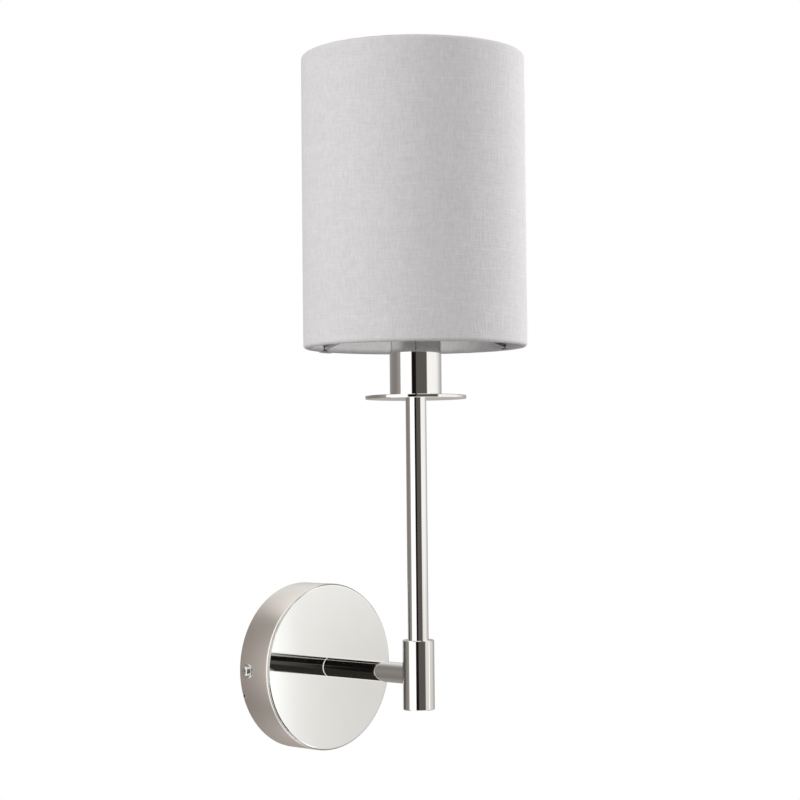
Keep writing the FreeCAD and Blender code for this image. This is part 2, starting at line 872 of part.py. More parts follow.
sleeve_inner = cell("cap_radius") + cell("cap_clearance")
sleeve_outer = sleeve_inner + cell("sleeve_wall")


def make_holder():
    base = new_body("holder_base")
    outer = cell("holder_radius") - cell("base_step")
    neck = cell("neck_length")
    ledge = neck + cell("chamber_length")
    step = cell("base_body")
    end = step + cell("spigot_length")
    chamber = cell("chamber_radius")
    seat = cell("block_radius") + fit
    spigot = cell("spigot_radius")
    turn(base, [
        (thread_bore, zero), (outer, zero), (outer, step), (spigot, step), (spigot, end),
        (seat, end), (seat, ledge), (chamber, ledge), (chamber, neck), (thread_bore, neck),
    ])
    on_stem(keep(base, "holder_base"), cup_floor)
    block = new_body("contact_block")
    thickness = cell("block_thickness")
    disc = [(zero, zero), (cell("block_radius"), zero), (cell("block_radius"), thickness)]
    turn(block, disc + [(zero, thickness)])
    posts = new_sketch(block, "XY_Plane")
    for side in (-1, 1):
        draw_circle(posts, cell("terminal_place") * side, zero, cell("post_radius") + fit)
    pocket(block, posts)
    on_stem(keep(block, "contact_block"), block_seat)
    skirt = new_body("holder_skirt")
    top = ring_top + cell("skirt_end") - skirt_start
    shelf = cup_top - skirt_start
    collar_top = gallery_bottom - skirt_start
    clamp = block_top - skirt_start
    web = spigot_top - skirt_start
    outside = cell("holder_radius")
    collar = cell("collar_radius")
    bore = sleeve_outer + cell("holder_gap")
    mouth = cell("skirt_mouth_radius")
    mouth_floor = clamp + cell("sleeve_length")
    plug = cell("block_radius")
    turn(skirt, [
        (spigot + fit, zero), (outside, zero), (outside, shelf), (collar, shelf),
        (collar, collar_top), (outside, collar_top), (outside, top), (mouth, top),
        (mouth, mouth_floor), (bore, mouth_floor), (bore, clamp), (plug, clamp),
        (plug, web), (spigot + fit, web),
    ])
    on_stem(keep(skirt, "holder_skirt"), skirt_start)


def make_contacts():
    sleeve = new_body("screw_contact")
    length = cell("sleeve_length")
    flange = cell("sleeve_flange")
    sheet_metal = cell("sleeve_wall")
    turn(sleeve, [
        (flange, zero), (sleeve_outer, zero), (sleeve_outer, length),
        (sleeve_inner, length), (sleeve_inner, sheet_metal), (flange, sheet_metal),
    ])
    on_stem(keep(sleeve, "screw_contact"), block_top)
    strip = new_body("centre_contact")
    thick = cell("contact_thickness")
    rise = cell("contact_rise")
    half = cell("contact_width") * 0.5
    foot = flange - cell("contact_inset")
    riser = cell("contact_riser")
    profile = new_sketch(strip, "XZ_Plane")
    draw_outline(profile, [
        (-foot, zero), (-riser, zero), (-half, rise - thick), (half, rise - thick),
        (half, rise), (-half - thick, rise), (-riser - thick, thick), (-foot, thick),
    ])
    pad(strip, profile, cell("contact_width"), True)
    on_stem(keep(strip, "centre_contact"), block_top)


def make_holder_terminals():
    terminals = []
    screws = []
    side_length = cell("terminal_side")
    half = side_length * 0.5
    height = cell("terminal_height")
    middle = height * 0.5
    wire_hole = cell("wire_cover_radius") + fit
    for side in (-1, 1):
        body = new_body("holder_terminal")
        outline = new_sketch(body, "XY_Plane")
        draw_box(outline, -half, -half, half, half)
        pad(body, outline, height)
        post = new_sketch(body, "XY_Plane", height)
        draw_circle(post, zero, zero, cell("post_radius"))
        pad(body, post, cell("block_thickness"))
        bore = new_sketch(body, "XY_Plane")
        draw_circle(bore, zero, zero, wire_hole)
        pocket(body, bore, height - cell("post_radius"), True)
        thread = new_sketch(body, "YZ_Plane", half)
        draw_circle(thread, zero, middle, cell("holder_screw_radius") + fit)
        pocket(body, thread, half)
        half_turn = FreeCAD.Rotation(FreeCAD.Vector(0, 0, 1), 180 if side < 0 else 0)
        place(body, cell("terminal_place") * side, -stem_offset, block_seat - height, half_turn)
        terminals.append(body)
        screw = slotted_screw(
            "holder_terminal_screw", cell("holder_screw_radius"), half - wire_hole - clearance,
            cell("holder_head_radius"), cell("holder_head_height"),
            cell("fine_slot_width"), cell("holder_slot_depth"),
        )
        face = (cell("terminal_place") + half) * side
        direction = to_left if side < 0 else to_right
        place(screw, face, -stem_offset, block_seat - height + middle, direction)
        screws.append(screw)
    gather(terminals, "holder_terminals")
    gather(screws, "holder_terminal_screws")


# Shade ring: screws down the holder's skirt and clamps the shade's gallery against the collar.


def make_shade_ring():
    body = new_body("shade_ring")
    outer = cell("ring_radius")
    thickness = cell("ring_thickness")
    bare = turn(body, tube_profile(outer, cell("holder_radius") + fit, thickness))
    rims = [(outer, zero), (outer, thickness)]
    soften(body, bare, "Chamfer", rims, cell("ring_chamfer"))
    grip = new_sketch(body, "XY_Plane")
    draw_circle(grip, outer + cell("ring_chamfer"), zero, cell("ring_grip_radius"))
    cut = pocket(body, grip)
    ring = body.newObject("PartDesign::PolarPattern", "Grips")
    ring.Originals = [cut]
    ring.Axis = (origin_plane(body, "Z_Axis"), [""])
    ring.Angle = 360
    ring.setExpression("Occurrences", "Sizes.ring_grips")
    body.Tip = ring
    doc.recompute()
    on_stem(keep(body, "shade_ring"), gallery_top)


# Shade: a gallery plate and three spokes hold the lower wire ring. Lining and fabric are one
# laminate round both wire rings, and the fabric is turned in over each ring as a hem.

fabric_outer = cell("shade_radius")
fabric_inner = fabric_outer - cell("fabric_thickness")
lining_outer = fabric_inner - cell("glue_gap")
lining_inner = lining_outer - cell("lining_thickness")
wire_circle = lining_inner - cell("glue_gap") - cell("wire_radius")
hem_inner = wire_circle - cell("wire_radius") - cell("glue_gap")
turn_middle = (fabric_inner + hem_inner) * 0.5
turn_radius = (fabric_inner - hem_inner) * 0.5
# The wire is a little higher than the middle of the turned edge, where it fits inside the turn.
wire_lift = cell("glue_gap") * 2
turn_height = lower_wire_height - wire_lift
shade_bottom = turn_height - turn_radius - cell("fabric_thickness")
shade_top = shade_bottom + cell("shade_height")
upper_wire_height = shade_bottom + shade_top - lower_wire_height


def wire_ring(label, height):
    ring = doc.addObject("Part::Torus", label)
    ring.setExpression("Radius1", wire_circle.text)
    ring.setExpression("Radius2", "Sizes.wire_radius")
    on_stem(keep(ring, label), height)
    return ring


def make_shade_frame():
    lower = wire_ring("shade_bottom_ring", lower_wire_height)
    wire_ring("shade_top_ring", upper_wire_height)
    gallery_radius = cell("gallery_radius")
    bore = cell("holder_radius") + cell("holder_gap")
    gallery = tube_piece("shade_gallery", gallery_radius, bore, cell("gallery_thickness"))
    on_stem(gallery, gallery_bottom)
    doc.recompute()
    middle = gallery_bottom + cell("gallery_thickness") * 0.5
    start = gallery_radius - cell("spoke_radius")
    run = wire_circle - start
    length_text = f"sqrt({run.text}^2 + Sizes.carrier_drop^2)"
    slope = math.degrees(math.atan2(cell("carrier_drop").number, run.number))
    spokes = []
    for index in range(int(sizes["spoke_count"])):
        rod = doc.addObject("Part::Cylinder", "Spoke")
        rod.setExpression("Radius", "Sizes.spoke_radius")
        rod.setExpression("Height", length_text)
        angle = cell("spoke_angle").number + index * 360 / sizes["spoke_count"]
        around = FreeCAD.Rotation(FreeCAD.Vector(0, 0, 1), angle)
        down = FreeCAD.Rotation(FreeCAD.Vector(0, 1, 0), 90 + slope)
        from_axis = around.multVec(FreeCAD.Vector(start.number, 0, 0))
        base = FreeCAD.Vector(0, -stem_offset.number, middle.number) + from_axis
        rod.Placement = FreeCAD.Placement(base, around.multiply(down))
        trimmed = doc.addObject("Part::Cut", "TrimmedSpoke")
        trimmed.Base = rod
        trimmed.Tool = gallery
        welded = doc.addObject("Part::Cut", "WeldedSpoke")
        welded.Base = trimmed
        welded.Tool = lower
        spokes.append(welded)
    doc.recompute()
    gather(spokes, "shade_spokes")
    return slope


def hem_outline(sign, edge_height):
    # One turned edge in the (radius, height) plane: the turn round the wire, then the hem, which
    # leans back to the lining. sign is +1 for the lower edge and -1 for the upper one.
    thickness = cell("fabric_thickness").number
    middle = turn_middle.number
    inner_turn = turn_radius.number
    outer_turn = inner_turn + thickness
    lining = lining_inner.number - cell("glue_gap").number
    hem = hem_inner.number
    rise = cell("hem_rise").number
    width = cell("hem_width").number
    lip = cell("hem_lip").number

    def at(radius, height):
        return FreeCAD.Vector(radius, 0, edge_height + sign * height)

    outside = [at(fabric_outer.number, 0), at(middle, -outer_turn), at(hem - thickness, 0)]
    inside = [at(hem, 0), at(middle, -inner_turn), at(fabric_inner.number, 0)]
    hem_points = [
        outside[2], at(hem - thickness, lip), at(lining - thickness, rise),
        at(lining - thickness, width), at(lining, width), at(lining, rise), at(hem, lip), inside[0],
    ]
    edges = [Part.Arc(*outside).toShape()]
    for first, second in zip(hem_points, hem_points[1:]):
        edges.append(Part.LineSegment(first, second).toShape())
    edges.append(Part.Arc(*inside).toShape())
    return edges


def make_fabric(slope):
    low = turn_height.number
    high = shade_bottom.number + shade_top.number - low
    edges = hem_outline(1, low) + hem_outline(-1, high)
    for radius in (fabric_outer.number, fabric_inner.number):
        bottom = FreeCAD.Vector(radius, 0, low)
        top = FreeCAD.Vector(radius, 0, high)
        edges.append(Part.LineSegment(bottom, top).toShape())
    outline = Part.Wire(Part.__sortEdges__(edges))
    axis = FreeCAD.Vector(0, 0, 1)
    cloth = Part.Face(outline).revolve(FreeCAD.Vector(0, 0, 0), axis, 360)
    # The lower hem is notched where each spoke passes to the ring.
    opening = cell("spoke_radius").number + cell("hem_notch").number
    reach = wire_circle.number
    for index in range(int(sizes["spoke_count"])):
        angle = math.radians(cell("spoke_angle").number + index * 360 / sizes["spoke_count"])
        fall = math.tan(math.radians(slope))
        inward = FreeCAD.Vector(-math.cos(angle), -math.sin(angle), fall)
        rim = FreeCAD.Vector(reach * math.cos(angle), reach * math.sin(angle), 0)
        rim.z = lower_wire_height.number
        length = cell("hem_width").number
        cloth = cloth.cut(Part.makeCylinder(opening, length, rim, inward))
    piece = solid_piece(cloth, "shade_fabric")
    on_stem(piece, zero)


def make_lining():
    top = shade_bottom + shade_top - turn_height
    lining = tube_piece("shade_lining", lining_outer, lining_inner, top - turn_height)
    on_stem(lining, turn_height)


# Lamp: screw cap with its insulator and tip contact, a glass candle envelope, and the filament
# sticks on their glass stem.


def make_lamp_cap():
    tip = new_body("lamp_contact")
    tip_radius = cell("tip_radius")
    tip_length = cell("tip_length")
    turn(tip, [(zero, zero), (tip_radius, zero), (tip_radius, tip_length), (zero, tip_length)])
    on_stem(keep(tip, "lamp_contact"), lamp_seat)
    insulator = new_body("lamp_insulator")
    shell_inner = cell("cap_radius") - cell("cap_wall")
    height = cell("insulator_length")
    edge = cell("cap_radius") - cell("cap_wall") * 0.5
    turn(insulator, [(zero, zero), (tip_radius, zero), (edge, height), (zero, height)])
    on_stem(keep(insulator, "lamp_insulator"), lamp_seat + tip_length)
    cap = new_body("lamp_cap")
    length = cell("cap_length")
    turn(cap, tube_profile(cell("cap_radius"), shell_inner, length))
    on_stem(keep(cap, "lamp_cap"), lamp_seat + tip_length + height)


cap_top = lamp_seat + cell("tip_length") + cell("insulator_length") + cell("cap_length")


def globe_wire(inset):
    # Half section of the envelope. A straight neck stands in the cap, then a curve swells to the
    # full radius and closes in a blunt point.
    neck_inner = cell("cap_radius").number - cell("cap_wall").number - cell("fit").number
    full = cell("globe_radius").number - inset
    neck = cell("globe_neck").number - inset
    length = cell("globe_length").number - inset
    points = [FreeCAD.Vector(neck, 0, cell("globe_flare").number)]
    points += [FreeCAD.Vector(full * wide, 0, length * along) for wide, along in globe_curve]
    points.append(FreeCAD.Vector(0, 0, length))
    side = Part.BSplineCurve()
    side.interpolate(points)
    stem = [
        FreeCAD.Vector(neck_inner - inset, 0, -cell("cap_tuck").number),
        FreeCAD.Vector(neck_inner - inset, 0, cell("globe_step").number),
        points[0],
    ]
    edges = [Part.LineSegment(a, b).toShape() for a, b in zip(stem, stem[1:])]
    return edges + [side.toShape()]


def make_globe():
    wall = cell("globe_wall").number
    outside = globe_wire(0)
    inside = globe_wire(wall)
    tuck = outside[0].Vertexes[0].Point
    inner_tuck = inside[0].Vertexes[0].Point
    length = cell("globe_length").number
    apex = FreeCAD.Vector(0, 0, length)
    inner_apex = FreeCAD.Vector(0, 0, length - wall)
    ends = [(tuck, inner_tuck), (apex, inner_apex)]
    closing = [Part.LineSegment(first, second).toShape() for first, second in ends]
    outline = Part.Wire(Part.__sortEdges__(outside + inside + closing))
    glass = Part.Face(outline).revolve(FreeCAD.Vector(0, 0, 0), FreeCAD.Vector(0, 0, 1), 360)
    piece = solid_piece(glass, "lamp_globe")
    on_stem(piece, cap_top)


def rod_between(start, end, radius):
    along = end - start
    return Part.makeCylinder(radius, along.Length, start, along)


def make_filaments():
    # The glass stem stands on a foot that closes the envelope's neck. Leads from its top carry the
    # sticks at their feet, and a centre rod with four arms holds their heads.
    neck_inner = cell("cap_radius").number - cell("cap_wall").number - cell("fit").number
    foot_radius = neck_inner - cell("globe_wall").number - fit.number
    foot_bottom = -cell("cap_tuck").number
    foot_top = foot_bottom + 2 * cell("globe_wall").number
    stem_radius = cell("lamp_stem_radius").number
    stem_top = foot_top + cell("lamp_stem_length").number
    up_axis = FreeCAD.Vector(0, 0, 1)
    foot = Part.makeCylinder(foot_radius, foot_top - foot_bottom, up_axis * foot_bottom)
    post = Part.makeCylinder(stem_radius, stem_top - foot_bottom, up_axis * foot_bottom)
    on_stem(solid_piece(foot.fuse(post).removeSplitter(), "lamp_stem"), cap_top)
    lead = cell("lead_radius").number
    stick = cell("filament_radius").number
    spread = cell("filament_spread").number
    top_spread = cell("filament_top_spread").number
    length = cell("filament_length").number
    low = stem_top + lead
    high = low + length
    count = int(sizes["filament_count"])
    sticks = []
    frame = Part.makeCylinder(lead, high + lead - stem_top, up_axis * stem_top)
    for index in range(count):
        angle = math.radians(cell("filament_angle").number + index * 360 / count)
        outward_arm = FreeCAD.Vector(math.cos(angle), math.sin(angle), 0)
        lower_end = outward_arm * spread + up_axis * low
        upper_end = outward_arm * top_spread + up_axis * high
        sticks.append(rod_between(lower_end, upper_end, stick))
        frame = frame.fuse(rod_between(up_axis * low, lower_end, lead))
        frame = frame.fuse(rod_between(up_axis * high, upper_end, lead))
    for piece in sticks:
        frame = frame.cut(piece)
    on_stem(solid_piece(Part.makeCompound(frame.Solids), "filament_leads"), cap_top)
    on_stem(solid_piece(Part.makeCompound(sticks), "led_filaments"), cap_top)


# Wires: straight runs joined by tangent arcs, each as large as its bores leave room for.


def routed_wire(points, bends, label):
    radius = cell("wire_cover_radius").number
    edges = []
    start = points[0]
    for before, corner, after, bend in zip(points, points[1:], points[2:], bends):
        back = (before - corner).normalize()
        ahead = (after - corner).normalize()
        half_turn = (math.pi - back.getAngle(ahead)) / 2
        reach = bend * math.tan(half_turn)
        arc_start = corner + back * reach
        arc_end = corner + ahead * reach
        bisector = (back + ahead).normalize()
        arc_middle = corner + bisector * (bend / math.cos(half_turn) - bend)
        edges.append(Part.LineSegment(start, arc_start).toShape())
        edges.append(Part.Arc(arc_start, arc_middle, arc_end).toShape())
        start = arc_end
    edges.append(Part.LineSegment(start, points[-1]).toShape())
    path = Part.Wire(edges)
    section = Part.Wire(Part.Circle(points[0], points[1] - points[0], radius).toShape())
    shape = path.makePipeShell([section], True, False)
    expected = math.pi * radius**2 * path.Length
    print(f"{label}: length {path.Length:.1f}, bends {bends}, volume {shape.Volume / expected:.4f}")
    if abs(shape.Volume / expected - 1) > volume_error:
        raise RuntimeError(f"{label}: the tube's volume is not its section times its length")
    solid_piece(shape, label)


def make_wires():
    depth = -pole_level.number
    entry = block_middle.number - cell("insert_length").number * 0.5 + cell("wire_entry").number
    below = (cell("block_bottom") - cell("wire_drop")).number
    stem_y = -stem_offset.number
    stem_end = (cup_floor + cell("neck_length") + cell("wire_stub")).number
    terminal_bottom = (block_seat - cell("terminal_height")).number
    terminal_x = cell("terminal_place").number
    holder_end = terminal_bottom + cell("terminal_height").number * 0.5
    lead_start = terminal_bottom - cell("wire_lead").number
    bend = cell("wire_bend").number
    tight = cell("wire_tight_bend").number
    holder_bend = cell("wire_holder_bend").number
    vector = FreeCAD.Vector
    for label, pole, side in (("live_wire", 0, -1), ("neutral_wire", 1, 1)):
        pole_x = pole_place(pole).number
        wire_x = cell("wire_place").number * side
        points = [
            vector(pole_x, depth, entry), vector(pole_x, depth, below), vector(wire_x, depth, 0),
            vector(wire_x, stem_y, 0), vector(wire_x, stem_y, stem_end),
            vector(terminal_x * side, stem_y, lead_start),
            vector(terminal_x * side, stem_y, holder_end),
        ]
        routed_wire(points, [bend, tight, bend, holder_bend, holder_bend], label)
    earth_x_number = earth_x.number
    barrel = -barrel_level.number
    barrel_low = cell("barrel_rise").number - cell("earth_place").number
    barrel_high = barrel_low + cell("barrel_length").number
    leave = barrel_high + cell("earth_wire_rise").number
    meet = barrel_high + cell("earth_wire_lead").number
    points = [
        vector(earth_x_number, depth, entry), vector(earth_x_number, depth, leave),
        vector(earth_x_number, barrel, meet), vector(earth_x_number, barrel, barrel_low),
    ]
    routed_wire(points, [bend, cell("earth_wire_bend").number], "earth_wire")


make_bracket()
make_terminal_block()
make_terminal_inserts()
make_terminal_screws()
make_block_screw()
make_earth_tag()
make_earth_parts()
make_cover()
make_cover_screws()
make_arm()
make_knuckle()
make_stem()
make_disc_and_cup()
make_holder()
make_contacts()
make_holder_terminals()
make_shade_ring()
spoke_slope = make_shade_frame()
make_fabric(spoke_slope)
make_lining()
make_lamp_cap()
make_globe()
make_filaments()
make_wires()

doc.recompute()
for thing in doc.Objects:
    if "Invalid" in thing.State or "Error" in thing.State:
        raise RuntimeError(f"{thing.Label} failed: {thing.State}")
for piece in pieces:
    if piece.Shape.isNull() or not piece.Shape.isValid() or not piece.Shape.Solids:
        raise RuntimeError(f"{piece.Label} has no valid solid")

os.makedirs("parts", exist_ok=True)
for piece in pieces:
    piece.Shape.exportStep(f"parts/{piece.Label}.step")
print(f"{len(pieces)} pieces, {sum(len(piece.Shape.Solids) for piece in pieces)} solids")
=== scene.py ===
import math

import bmesh
import bpy
from mathutils import Matrix, Vector


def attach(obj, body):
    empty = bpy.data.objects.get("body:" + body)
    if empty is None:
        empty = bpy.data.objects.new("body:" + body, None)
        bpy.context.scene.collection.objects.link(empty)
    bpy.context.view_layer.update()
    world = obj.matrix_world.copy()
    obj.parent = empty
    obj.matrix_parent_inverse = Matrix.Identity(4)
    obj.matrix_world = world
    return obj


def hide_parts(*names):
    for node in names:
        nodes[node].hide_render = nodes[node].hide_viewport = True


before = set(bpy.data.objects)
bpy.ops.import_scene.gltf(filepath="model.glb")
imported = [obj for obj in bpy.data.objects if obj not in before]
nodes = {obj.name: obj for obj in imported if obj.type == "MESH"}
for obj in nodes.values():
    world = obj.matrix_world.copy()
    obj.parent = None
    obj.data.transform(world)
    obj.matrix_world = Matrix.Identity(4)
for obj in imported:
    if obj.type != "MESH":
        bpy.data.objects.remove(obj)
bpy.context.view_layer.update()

print("packed model loaded,", len(nodes), "nodes")


# Node graphs: a socket that can be added and multiplied, and one way to add any node.

class Socket:
    def __init__(self, graph, output):
        self.graph, self.output = graph, output

    def math(self, operation, *values):
        return self.graph.node("ShaderNodeMath", {"operation": operation}, dict(enumerate(values)))

    def __add__(self, other):
        return self.math("ADD", self, other)

    def __sub__(self, other):
        return self.math("SUBTRACT", self, other)

    def __rsub__(self, other):
        return self.math("SUBTRACT", other, self)

    def __mul__(self, other):
        return self.math("MULTIPLY", self, other)

    def __truediv__(self, other):
        return self.math("DIVIDE", self, other)

    def __abs__(self):
        return self.math("ABSOLUTE", self)

    def __gt__(self, other):
        return self.math("GREATER_THAN", self, other)

    def __lt__(self, other):
        return self.math("LESS_THAN", self, other)

    __radd__, __rmul__ = __add__, __mul__

    def lowest(self, other):
        return self.math("MINIMUM", self, other)

    def highest(self, other):
        return self.math("MAXIMUM", self, other)

    def sine(self):
        return self.math("SINE", self)

    def cosine(self):
        return self.math("COSINE", self)

    def sign(self):
        return self.math("SIGN", self)

    def root(self):
        return self.math("SQRT", self)

    def angleFrom(self, other):
        return self.math("ARCTAN2", self, other)

    def wrapped(self, low, high):
        return self.math("WRAP", self, high, low)

    def ease(self, start, end):  # 0 before start, 1 after end, smooth between
        return self.graph.node(
            "ShaderNodeMapRange", {"interpolation_type": "SMOOTHSTEP"},
            {"Value": self, "From Min": start, "From Max": end},
        )

    def parts(self):
        split = self.graph.node("ShaderNodeSeparateXYZ", {}, {0: self})
        return [Socket(self.graph, output) for output in split.output.node.outputs]


class Graph:
    def __init__(self, tree):
        self.tree = tree

    def node(self, kind, settings, inputs, output=0):
        made = self.tree.nodes.new(kind)
        for name, value in settings.items():
            if name == "stops":
                self.setStops(made.color_ramp, value)
            else:
                setattr(made, name, value)
        for name, value in inputs.items():
            target = made.inputs[name]
            if isinstance(value, Socket):
                self.tree.links.new(value.output, target)
            else:
                target.default_value = value
        return Socket(self, made.outputs[output]) if len(made.outputs) else None

    def setStops(self, ramp, stops):
        for place, _ in stops[2:]:
            ramp.elements.new(place)
        for element, (place, colour) in zip(ramp.elements, stops):
            element.position = place
            element.color = colour

    def join(self, x, y, z):
        return self.node("ShaderNodeCombineXYZ", {}, {0: x, 1: y, 2: z})

    def noise(self, vector, scale, detail=2.0, roughness=0.5):
        return self.node(
            "ShaderNodeTexNoise", {},
            {"Vector": vector, "Scale": scale, "Detail": detail, "Roughness": roughness},
        )

    def scaled(self, vector, amounts):
        return self.node("ShaderNodeVectorMath", {"operation": "MULTIPLY"}, {0: vector, 1: amounts})

    def blend(self, amount, first, second):  # colours
        return self.node(
            "ShaderNodeMix", {"data_type": "RGBA"}, {0: amount, 6: first, 7: second}, output=2
        )


def colour(red, green, blue):
    return (red, green, blue, 1.0)


def addObject(name, data):
    item = bpy.data.objects.new(name, data)
    bpy.context.scene.collection.objects.link(item)
    return item


# Camera.

camera = {
    "azimuth": -44.579, "elevation": -2.075, "roll": -0.557, "distance": 1.19344,
    "stemOffset": 0.1, "aimRight": -0.00919, "aimHeight": 0.15854, "lens": 92.675, "film": 36,
}
azimuth, elevation, roll = (math.radians(camera[k]) for k in ("azimuth", "elevation", "roll"))
level = Vector((math.cos(azimuth), math.sin(azimuth), 0))
cameraSide = Vector((math.sin(azimuth), -math.cos(azimuth), 0))
back = Vector((
    math.sin(azimuth) * math.cos(elevation), -math.cos(azimuth) * math.cos(elevation),
    math.sin(elevation),
))
upright = back.cross(level)
cameraRight = math.cos(roll) * level + math.sin(roll) * upright
cameraUp = math.cos(roll) * upright - math.sin(roll) * level
stemAxis = Vector((0, -camera["stemOffset"], 0))
aim = stemAxis + camera["aimRight"] * level + Vector((0, 0, camera["aimHeight"]))
cameraData = bpy.data.cameras.new("camera")
cameraData.lens = camera["lens"]
cameraData.sensor_width = camera["film"]
cameraObject = addObject("camera", cameraData)
cameraObject.matrix_world = (
    Matrix.Translation(aim + camera["distance"] * back)
    @ Matrix((cameraRight, cameraUp, back)).transposed().to_4x4()
)
bpy.context.scene.camera = cameraObject
bpy.context.scene.view_settings.view_transform = "Standard"
print("camera placed")


# Studio: a round wall of panels for the metal to reflect, two soft lamps, a pale floor and sky.
# A turn in it is in degrees, from the camera's side towards its right.

studio = {
    "wallRadius": 1.75, "wallFoot": -2.9, "wallHead": 2.0, "steps": 96,
    "floorRadius": 9.0, "floorColour": 0.52, "floorGrain": 9.0, "floorGrainDark": 0.985,
    "floorLift": 0.05, "floorShown": 0.72, "skyLight": 0.525,
    # the turn of a panel, how bright it is, and how warm
    "panels": [
        (-180, 0.45, 0.13), (-160, 0.36, 0.13), (-132, 0.26, 0.13), (-98, 0.25, 0.13),
        (-85, 0.32, 0.13), (-72, 0.4, 0.12), (-69, 1.3, 0), (-20, 1.3, 0), (-17, 0.008, 0.2),
        (0, 0.01, 0.2), (3, 0.115, 0.16), (49, 0.115, 0.16), (53, 1.1, 0.02), (103, 1.08, 0.02),
        (119, 0.85, 0.03), (140, 0.5, 0.04), (180, 0.45, 0.1),
    ],
    # the same low down, where the right-hand panel fades
    "lowPanels": [
        (-180, 0.4, 0.14), (-132, 0.24, 0.15), (-98, 0.24, 0.15), (-85, 0.3, 0.14),
        (-73, 0.36, 0.12), (-70, 1.25, 0), (-20, 1.25, 0), (-17, 0.008, 0.2), (0, 0.01, 0.2),
        (3, 0.115, 0.16), (49, 0.115, 0.16), (53, 0.82, 0.04), (80, 0.88, 0.04), (84.7, 1.6, 0.0),
        (85.7, 1.32, 0.01), (86.5, 1.07, 0.02), (87.4, 0.93, 0.03), (89, 0.845, 0.04),
        (92, 0.79, 0.05), (119, 0.7, 0.05), (140, 0.45, 0.06), (180, 0.4, 0.1),
    ],
    "warmGreen": 0.6,  # how much of the warmth is taken from green, beside all of it from blue
    "fadeHeights": (-0.2, 0.1),
    # dark under and over the front panels
    "veil": (0.03, 0.007), "veilTint": (1, 0.92, 0.84), "veilIn": (-25, -15), "veilOut": (72, 81),
    "veilMiddle": 0.05, "veilReach": (0.3, 0.55),
    # pale behind the object, high up and towards the floor
    "highTurns": (-175, -105), "highHeights": (0.1, 1.0), "highColour": colour(0.84, 0.86, 0.88),
    "lowTurns": (-100, -85), "lowDepths": (1.2, 2.2), "lowColour": colour(0.9, 0.9, 0.95),
    "lowShare": 0.2,
    "lampMiddle": 0.2,
    "lamps": [  # turn, height over the lamps' middle, distance, size, watts
        (104, 0.45, 1.6, 0.9, 22.4), (-53, 0.35, 1.6, 0.9, 13.6),
    ],
}


def newMaterial(name):
    material = bpy.data.materials.new(name)
    material.use_nodes = True
    material.node_tree.nodes.clear()
    return material, Graph(material.node_tree)


def objectPlace(graph):
    return graph.node("ShaderNodeTexCoord", {}, {}, output=3)


def keepShape(name, shape, material):
    mesh = bpy.data.meshes.new(name)
    shape.to_mesh(mesh)
    shape.free()
    mesh.materials.append(material)
    return addObject(name, mesh)


def turnShares(*turns):
    return [turn / 360 + 0.5 for turn in turns]


def panelPaint(graph):
    x, y, height = objectPlace(graph).parts()
    y = y - stemAxis.y
    toRight = x * level.x + y * level.y
    toCamera = x * cameraSide.x + y * cameraSide.y
    turn = toRight.angleFrom(toCamera) / (2 * math.pi) + 0.5
    high, low = (
        graph.node("ShaderNodeValToRGB", {"stops": [
            (turnShares(angle)[0],
             colour(light, light * (1 - warm * studio["warmGreen"]), light * (1 - warm)))
            for angle, light, warm in studio[key]
        ]}, {"Fac": turn})
        for key in ("panels", "lowPanels")
    )
    paint = graph.blend(height.ease(*studio["fadeHeights"]), low, high)
    front = turn.ease(*turnShares(*studio["veilIn"]))
    front = front * (1 - turn.ease(*turnShares(*studio["veilOut"])))
    away = abs(height - studio["veilMiddle"]).ease(*studio["veilReach"])
    under, over = (colour(*(veil * part for part in studio["veilTint"])) for veil in studio["veil"])
    veil = graph.blend(height > studio["veilMiddle"], under, over)
    paint = graph.blend(front * away, paint, veil)
    behind = 1 - turn.ease(*turnShares(*studio["highTurns"]))
    behind = behind * height.ease(*studio["highHeights"])
    paint = graph.blend(behind, paint, studio["highColour"])
    behind = 1 - turn.ease(*turnShares(*studio["lowTurns"]))
    behind = behind * (0 - height).ease(*studio["lowDepths"]) * studio["lowShare"]
    return graph.blend(behind, paint, studio["lowColour"])


def makeWall():
    material, graph = newMaterial("studioPanels")
    glow = graph.node("ShaderNodeEmission", {}, {"Color": panelPaint(graph), "Strength": 1.0})
    graph.node("ShaderNodeOutputMaterial", {}, {"Surface": glow})
    steps, radius = studio["steps"], studio["wallRadius"]
    turns = [2 * math.pi * i / steps for i in range(steps)]
    shape = bmesh.new()
    foot, head = (
        [
            shape.verts.new((radius * math.cos(t), radius * math.sin(t) + stemAxis.y, height))
            for t in turns
        ]
        for height in (studio["wallFoot"], studio["wallHead"])
    )
    for i in range(steps):
        j = (i + 1) % steps
        shape.faces.new((foot[j], foot[i], head[i], head[j]))
    wall = keepShape("studioWall", shape, material)
    for rays in ("camera", "diffuse", "transmission", "shadow"):
        setattr(wall, "visible_" + rays, False)
    return wall


def shownDirectly(graph):  # 1 where the camera looks, straight, by a mirror or through glass
    path = graph.node("ShaderNodeLightPath", {}, {}).output.node.outputs
    kinds = ("Is Camera Ray", "Is Glossy Ray", "Is Transmission Ray")
    return sum((Socket(graph, path[kind]) for kind in kinds), 0.0).lowest(1.0)


